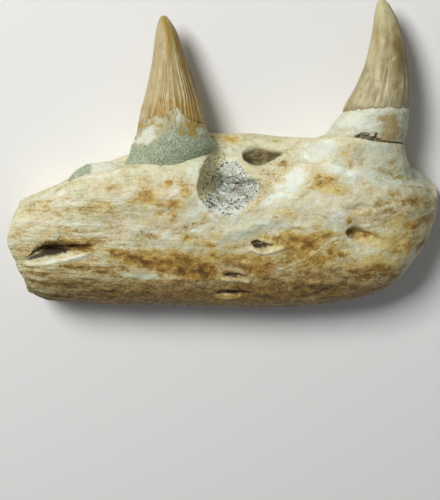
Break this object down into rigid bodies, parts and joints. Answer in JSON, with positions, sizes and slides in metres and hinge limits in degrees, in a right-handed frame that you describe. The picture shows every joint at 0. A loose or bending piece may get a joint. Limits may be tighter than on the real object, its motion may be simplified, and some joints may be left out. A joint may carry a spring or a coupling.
{
  "type": "fossil mosasaur lower jaw fragment",
  "caption": "Front end of a fossil mosasaur's right lower jaw with two teeth in place, an empty tooth socket between them and sandy rock round the rear tooth.",
  "frame": {"origin": "on the floor under the middle of the whole fossil's box, teeth included", "axes": "+X along the jaw towards the chin, +Y the way the teeth point, +Z the cheek side, away from the floor"},
  "size_m": [0.0835, 0.0606, 0.0175],
  "materials": {
    "fossil_bone": "matt cream and ochre fossil bone with brown stains",
    "tooth_enamel": "satin tan fossil enamel with fine ridges",
    "tooth_root": "matt pale fossil tooth root",
    "sandy_rock": "rough grey-green phosphate sand"
  },
  "bodies": {
    "root": {"jaw_bone": "fossil_bone", "front_tooth_crown": "tooth_enamel", "front_tooth_root": "tooth_root", "rear_tooth_crown": "tooth_enamel", "rear_tooth_rock": "sandy_rock", "rear_socket_rock": "sandy_rock", "canal_rock": "sandy_rock"}
  },
  "joints": []
}
